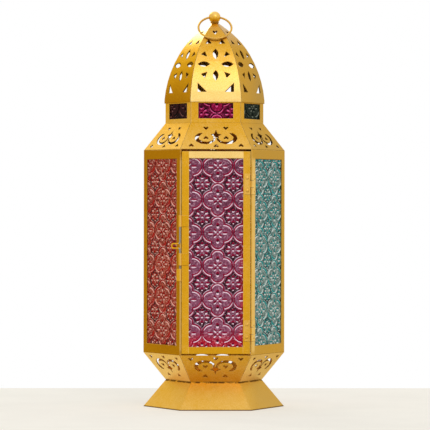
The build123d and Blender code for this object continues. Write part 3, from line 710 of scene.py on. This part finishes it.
# Operators, in the order of the work
class LANTERN_OT_paint_sheet(Operator):
    """Paint every sheet and strip in its own tone of painted light and shade, and give the wires
    their finish
    """

    bl_idname = "lantern.paint_sheet"
    bl_label = "Paint the Sheet"

    # By the start of a piece's name, its painted light: how pale it is at its foot and at its head,
    # and its share of painted grey reflection
    painted_light_tones = (
        ("dome_petal_front_left", (-0.05, 0.85, 0.0)),
        ("dome_petal_front_right", (0.55, 0.5, 0.5)),
        ("dome_petal_front", (0.88, 0.42, 0.0)),
        ("dome_petal", (0.6, 0.5, 0.1)),
        ("shoulder_panel_front_left", (0.7, 0.46, 0.15)),
        ("shoulder_panel_front_right", (0.65, 0.5, 0.25)),
        ("shoulder_panel", (0.66, 0.44, 0.05)),
        ("collar_panel_front_left", (1.0, 0.85, 0.0)),
        ("collar_panel_front_right", (1.0, 0.85, 0.0)),
        ("collar_panel", (0.58, 0.54, 0.0)),
        ("window_frame_front_left", (0.07, 0.0, 0.0)),
        ("window_frame_front_right", (0.55, 0.45, 0.2)),
        ("window_frame", (0.3, 0.3, 0.1)),
        ("door_rail_top", (0.88, 0.88, 0.0)),
        ("door_rail", (0.42, 0.42, 0.0)),
        ("door_stile", (0.5, 0.5, 0.0)),
        ("foot_skirt", (0.66, 0.58, 0.15)),
        ("hinge", (0.62, 0.62, 0.0)),
        ("finial", (-0.3, 0.95, 0.0)),
        ("", (0.48, 0.48, 0.0)),
    )
    petal_varnish = 0.7
    soft_bend = math.radians(32)

    def execute(self, context):
        paint = context.scene.lantern_paint
        finishes = {"gold_paint": gold_paint(paint), "steel_wire": bare_wire(paint)}
        for name, node in frame["nodes"].items():
            if SLOT_OF_NODE[name] not in finishes:
                continue
            node.data.materials.clear()
            node.data.materials.append(finishes[SLOT_OF_NODE[name]])
            tone = next(value for start, value in self.painted_light_tones if name.startswith(start))
            node.color = (*tone, self.petal_varnish if name.startswith("dome_petal") else 0)
            soften(node.data, self.soft_bend)
        return {"FINISHED"}


class LANTERN_OT_press_panes(Operator):
    """Replace the plain panes of the body, the door and the neck by pressed glass"""

    bl_idname = "lantern.press_panes"
    bl_label = "Press the Panes"

    # Where the middle of a quatrefoil falls in each pane: across, and above the floor
    shifts = {
        "door_glass": (0.00165, 0.17345), "glass_pane_back": (0.00165, 0.17375),
        "glass_pane_front_left": (0.00005, 0.17605), "glass_pane_back_right": (0.00005, 0.17605),
        "glass_pane_front_right": (0.01515, 0.16265), "glass_pane_back_left": (0.01515, 0.16265),
        "neck_glass_front": (0.001, 0.3075),
    }

    # The same for the neck's other panes, each cut further along by this step
    neck_step, neck_height = 0.003, 0.2

    # The pane of each kind that stands square to the frame, and so has its size as a box
    square_panes = {
        "door_glass": "door_glass", "glass_pane": "glass_pane_back",
        "neck_glass": "neck_glass_front",
    }

    # How much fine grit each tint shows, and how far the large panes shine
    speckles = {
        "pink": 0.35, "red": 0.85, "teal": 0.85,
        "neck_pink": 0.3, "neck_red": 0.4, "neck_teal": 0.4,
    }
    sheen = 0.06

    def execute(self, context):
        glass = context.scene.lantern_glass
        parts = ("light", "field", "cell", "groove", "shade")
        finishes = {
            tint: pressed_glass(
                f"{tint}_glass", 0.0 if tint.startswith("neck") else self.sheen,
                speckle, *(getattr(glass, f"{tint}_{part}") for part in parts),
                glow=glass.glow if tint == "pink" else None,
            )
            for tint, speckle in self.speckles.items()
        }
        for name, slot in SLOT_OF_NODE.items():
            if not slot.startswith("glass_"):
                continue
            kind = "_".join(name.split("_")[:2])
            tint = slot.removeprefix("glass_")
            # Neck panes take the copies of their glass that are darkened by painted shade
            finish = finishes[f"neck_{tint}" if kind == "neck_glass" else tint]
            low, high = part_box(self.square_panes[kind])
            outer = max(abs(low.y), abs(high.y))
            turn = FACES.index(name[len(kind) + 1:] or "front")
            mesh = relief_slab(
                f"pressed_{name}", high.x, low.z, high.z, outer, high.y - low.y,
                math.radians(60 * turn),
                self.shifts.get(name, (self.neck_step * turn, self.neck_height)), glass,
            )
            new_piece(f"pressed_{name}", mesh, finish, BODY_OF_NODE[name], slot, name)
        return {"FINISHED"}


class LANTERN_OT_bend_wires(Operator):
    """Replace the facetted ring, bolt and ball by round ones"""

    bl_idname = "lantern.bend_wires"
    bl_label = "Bend the Wires"

    # Flats round the ball and its stem, and along half of the ball's skin
    ball_round, ball_half = 48, 16

    # Flats along the ring and round it, and round the bolt
    ring_along, ring_round, bolt_round = 96, 20, 16

    # Share of the ball's radius at which it sits on the bead; the bead's height, bevel and end
    ball_seat, bead_high, bead_bevel, bead_end = 0.77, MM, 0.2 * MM, 0.94

    # Paint of the ring with its painted light: how pale it is at its foot and at its head, its
    # painted grey reflection, and its varnish
    ring_painted_light = (0.7, 0.6, 0.0, 0)

    def execute(self, context):
        fit = context.scene.lantern_fittings
        gold, wire = (bpy.data.materials[f"{name}_finish"] for name in ("gold_paint", "bare_wire"))
        self.make_ball(fit, gold)
        self.make_ring(fit, gold)
        self.make_bolt(fit, wire)
        return {"FINISHED"}

    def make_ball(self, fit, gold):
        """A ball bored across for the ring, on the bead and shank that go down through the apex."""
        low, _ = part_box("finial")
        centre = Vector(JOINTS["ring_swing"]["pos_m"])
        reach = math.acos(fit.ball_hole / fit.ball)
        rises = [reach * (step / self.ball_half - 1) for step in range(2 * self.ball_half + 1)]
        skin = [(fit.ball * math.cos(t), fit.ball * math.sin(t)) for t in rises]
        bm = bmesh.new()
        across = Matrix.Translation(centre) @ Matrix.Rotation(math.pi / 2, 4, "Y")
        turned(bm, [*skin, skin[0]], self.ball_round, across)
        bmesh.ops.remove_doubles(bm, verts=bm.verts, dist=1e-7)
        seat = centre.z - fit.ball * self.ball_seat
        foot, end = seat - self.bead_high, fit.bead * self.bead_end
        stem = [
            (0, low.z), (fit.shank, low.z), (fit.shank, foot), (end, foot),
            (fit.bead, foot + self.bead_bevel), (fit.bead, seat - self.bead_bevel),
            (end, seat), (0, seat),
        ]
        turned(bm, stem, self.ball_round, Matrix.Identity(4))
        mesh = mesh_from("round_finial", bm)
        ball = new_piece("round_finial", mesh, gold, "lantern", "gold_paint", "finial")
        ball.color = frame["nodes"]["finial"].color

    def make_ring(self, fit, gold):
        """A ring of round wire on the middle line of its solid."""
        low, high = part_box("hanging_ring")
        centre = (low + high) / 2
        pivot = Vector(JOINTS["ring_swing"]["pos_m"])
        outward = (centre - pivot).normalized()
        radius = high.x - fit.ring_wire
        across = Vector((1, 0, 0))
        turns = (2 * math.pi * step / self.ring_along for step in range(self.ring_along))
        path = [centre + (across * math.cos(t) + outward * math.sin(t)) * radius for t in turns]
        bm = bmesh.new()
        tube(bm, path, fit.ring_wire, self.ring_round, True)
        mesh = mesh_from("round_ring", bm)
        ring = new_piece("round_ring", mesh, gold, "hanging_ring", "gold_paint", "hanging_ring")
        ring.color = self.ring_painted_light

    def make_bolt(self, fit, wire):
        """A bolt of round wire with a bent handle; paint is left on the handle, off the axis."""
        low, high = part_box("latch_bolt")
        axis_x, depth = high.x - fit.bolt_wire, (low.y + high.y) / 2
        reach_x = low.x + fit.bolt_wire
        points = np.array([v.co for v in frame["nodes"]["latch_bolt"].data.vertices])
        handle = points[points[:, 0] < axis_x - 2 * MM]
        legs = handle[:, 2].min() + fit.bolt_wire, handle[:, 2].max() - fit.bolt_wire
        corners = [
            (axis_x, low.z), (axis_x, legs[0]), (reach_x, legs[0]), (reach_x, legs[1]),
            (axis_x, legs[1]), (axis_x, high.z),
        ]
        path = [Vector((x, depth, z)) for x, z in rounded(corners, fit.bolt_bend)]
        bm = bmesh.new()
        tube(bm, path, fit.bolt_wire, self.bolt_round, False)
        mesh = mesh_from("round_bolt", bm)
        left = mesh.attributes.new("paint_left", "FLOAT", "POINT")
        for vertex, painted in zip(mesh.vertices, left.data):
            painted.value = min(max((axis_x - vertex.co.x - MM) / MM, 0), 1)
        new_piece("round_bolt", mesh, wire, "latch_bolt", "steel_wire", "latch_bolt")


class LANTERN_OT_set_rivets(Operator):
    """Set two rivets through each hinge leaf"""

    bl_idname = "lantern.set_rivets"
    bl_label = "Set the Rivets"

    # How far rivets stand from a leaf's free end, at which shares of its height, and their flats
    inset, levels, head_round = 2.6 * MM, (0.2, 0.8), 20

    def execute(self, context):
        fit = context.scene.lantern_fittings
        for leaf, turn, side in (("door", 0, -1), ("frame", math.radians(60), 1)):
            for level in ("upper", "lower"):
                self.set_pair(f"hinge_{leaf}_leaf_{level}", fit, turn, side)
        return {"FINISHED"}

    def set_pair(self, leaf, fit, turn, side):
        """Two heads on a leaf that lies on a face turned this far and ends on this side."""
        points = np.array([v.co for v in frame["nodes"][leaf].data.vertices])
        out = np.array((math.sin(turn), -math.cos(turn), 0))
        along = np.array((math.cos(turn), math.sin(turn), 0)) * side
        reach = (points @ along).max()
        free_end = points[(points @ along) > reach - MM]
        spot = out * (free_end @ out).max() + along * (reach - self.inset)
        low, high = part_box(leaf)
        tip = Matrix.Rotation(turn, 4, "Z") @ Matrix.Rotation(math.pi / 2, 4, "X")
        bm = bmesh.new()
        for level in self.levels:
            height = low.z + (high.z - low.z) * level
            self.head(bm, fit, Matrix.Translation((spot[0], spot[1], height)) @ tip)
        gold = bpy.data.materials["gold_paint_finish"]
        mesh = mesh_from(leaf, bm)
        heads = new_piece(f"rivets_{leaf}", mesh, gold, BODY_OF_NODE[leaf], "gold_paint")
        heads.color = frame["nodes"][leaf].color

    def head(self, bm, fit, place):
        """One low round head."""
        radius, rise = fit.rivet_radius, fit.rivet_rise
        profile = [(radius, 0), (radius, rise * 0.35), (radius * 0.86, rise * 0.72)]
        profile += [(radius * 0.5, rise * 0.95), (0, rise)]
        rings = turned(bm, profile, self.head_round, place)
        bm.faces.new(reversed(rings[0]))


class LANTERN_OT_set_stage(Operator):
    """Lay the floor, hang the lamps and set up the camera"""

    bl_idname = "lantern.set_stage"
    bl_label = "Set the Stage"

    # Places and sizes of the lamps, and what lamps and camera look at, in metres
    key_place, key_size = (0.6, -1.85, 1.55), 1.2
    rim_place, rim_size = (-0.75, 1.6, 1.45), 0.7
    fill_place, fill_size = (0, 0, 0.06), 0.11
    fill_colour = (1.0, 0.58, 0.27)
    lamp_aim, camera_aim = (0, 0, 0.2), (0.0008, 0, 0.1911)

    # Edges of the floor, and how far it lies under the foot
    floor_near, floor_far, floor_side, floor_drop = -1.5, 0.265, 1.6, 0.0002

    def execute(self, context):
        stage = context.scene.lantern_stage
        self.lay_floor(stage)
        self.light_room(context.scene, stage)
        self.hang_lamp("key_lamp", self.key_place, self.key_size, stage.key, self.lamp_aim)
        self.hang_lamp("rim_lamp", self.rim_place, self.rim_size, stage.rim, self.lamp_aim)
        self.fill_inside(stage)
        self.set_camera(context.scene, stage)
        context.scene.view_settings.view_transform = "Standard"
        return {"FINISHED"}

    def seen_white(self, f):
        """1 for rays from the camera, a glossy surface or glass, which see the white room."""
        path = f.add("ShaderNodeLightPath")
        seen = path["Is Camera Ray"] + path["Is Glossy Ray"] + path["Is Transmission Ray"]
        return f.spread(seen, 0.0, 1.0)

    def lay_floor(self, stage):
        """A pale stone floor that ends behind the lantern, half washed out by the white room."""
        material, f = new_finish("pale_floor_finish")
        veins = f.noise(size=0.09, detail=4, rough=0.6)
        shade = f.mix(f.spread(veins, 0.3, 0.75), stage.floor, [c * 0.93 for c in stage.floor])
        stone = f.add("ShaderNodeBsdfPrincipled", None, {
            "Base Color": shade, "Roughness": 0.8, "Specular IOR Level": 0.1,
        })
        glow = f.add("ShaderNodeEmission", None, {"Color": (*stage.floor, 1)})
        both = f.add(
            "ShaderNodeMixShader", None,
            {0: self.seen_white(f) * 0.5, 1: stone["BSDF"], 2: glow["Emission"]},
        )
        f.add("ShaderNodeOutputMaterial", None, {"Surface": both["Shader"]})
        bm = bmesh.new()
        near, far, side = self.floor_near, self.floor_far, self.floor_side
        corners = ((-side, near, 0), (side, near, 0), (side, far, 0), (-side, far, 0))
        bm.faces.new([bm.verts.new(corner) for corner in corners])
        mesh = mesh_from("floor", bm)
        mesh.materials.append(material)
        floor = bpy.data.objects.new("floor", mesh)
        floor.location.z = cad_box[0].z - self.floor_drop
        bpy.context.scene.collection.objects.link(floor)

    def light_room(self, scene, stage):
        """An even room light, and plain white behind the lantern."""
        scene.world = bpy.data.worlds.new("plain_room")
        scene.world.use_nodes = True
        f = Finish(scene.world.node_tree)
        room, white = (
            f.add("ShaderNodeBackground", None, {"Color": (1, 1, 1, 1), "Strength": strength})
            for strength in (stage.ambient, 1.0)
        )
        both = f.add(
            "ShaderNodeMixShader", None,
            {0: self.seen_white(f), 1: room["Background"], 2: white["Background"]},
        )
        f.add("ShaderNodeOutputWorld", None, {"Surface": both["Shader"]})

    def hang_lamp(self, name, place, size, power, aim=None):
        """A round lamp, turned to what it aims at or else facing straight down."""
        lamp = bpy.data.lights.new(name, "AREA")
        lamp.shape = "DISK"
        lamp.size = size
        lamp.energy = power
        holder = bpy.data.objects.new(name, lamp)
        holder.location = place
        if aim:
            away = Vector(aim) - holder.location
            holder.rotation_euler = away.to_track_quat("-Z", "Y").to_euler()
        bpy.context.scene.collection.objects.link(holder)
        return holder

    def fill_inside(self, stage):
        """A weak warm lamp over the floor plate, for the daylight that coloured panes let in."""
        holder = self.hang_lamp("inner_fill", self.fill_place, self.fill_size, stage.inside)
        holder.data.color = self.fill_colour
        holder.visible_camera = False
        holder.visible_glossy = False

    def set_camera(self, scene, stage):
        """A camera with a long lens, a little to the left of the front."""
        data = bpy.data.cameras.new("camera")
        data.sensor_width = SENSOR_WIDTH
        data.lens = stage.lens
        camera = bpy.data.objects.new("camera", data)
        turn = stage.turn
        camera.location = (-stage.away * math.sin(turn), -stage.away * math.cos(turn), stage.height)
        aim = Vector(self.camera_aim) - camera.location
        facing = aim.to_track_quat("-Z", "Y").to_matrix() @ Matrix.Rotation(stage.roll, 3, "Z")
        camera.rotation_euler = facing.to_euler()
        scene.collection.objects.link(camera)
        scene.camera = camera


class LANTERN_PT_dressing(Panel):
    """Steps and settings of the dressing"""

    bl_idname = "LANTERN_PT_dressing"
    bl_label = "Lantern"
    bl_space_type = "VIEW_3D"
    bl_region_type = "UI"
    bl_category = "Lantern"

    def draw(self, context):
        for operator in STEPS:
            self.layout.operator(operator.bl_idname)
        for name, group in SETTINGS.items():
            box = self.layout.box()
            for field in group.__annotations__:
                box.prop(getattr(context.scene, name), field)


SETTINGS = {
    "lantern_paint": LanternPaint,
    "lantern_glass": LanternGlass,
    "lantern_fittings": LanternFittings,
    "lantern_stage": LanternStage,
}
STEPS = (
    LANTERN_OT_paint_sheet,
    LANTERN_OT_press_panes,
    LANTERN_OT_bend_wires,
    LANTERN_OT_set_rivets,
    LANTERN_OT_set_stage,
)


def register():
    """Make the settings, steps and panel known to Blender."""
    for made in (*SETTINGS.values(), *STEPS, LANTERN_PT_dressing):
        bpy.utils.register_class(made)
    for name, group in SETTINGS.items():
        setattr(bpy.types.Scene, name, PointerProperty(type=group))


def unregister():
    """Take them out again, last ones first."""
    for name in SETTINGS:
        delattr(bpy.types.Scene, name)
    for made in (LANTERN_PT_dressing, *reversed(STEPS), *reversed(SETTINGS.values())):
        bpy.utils.unregister_class(made)


def main():
    """Dress the lantern step by step."""
    register()
    bpy.ops.lantern.paint_sheet()
    bpy.ops.lantern.press_panes()
    bpy.ops.lantern.bend_wires()
    bpy.ops.lantern.set_rivets()
    bpy.ops.lantern.set_stage()


if __name__ == "__main__":
    main()
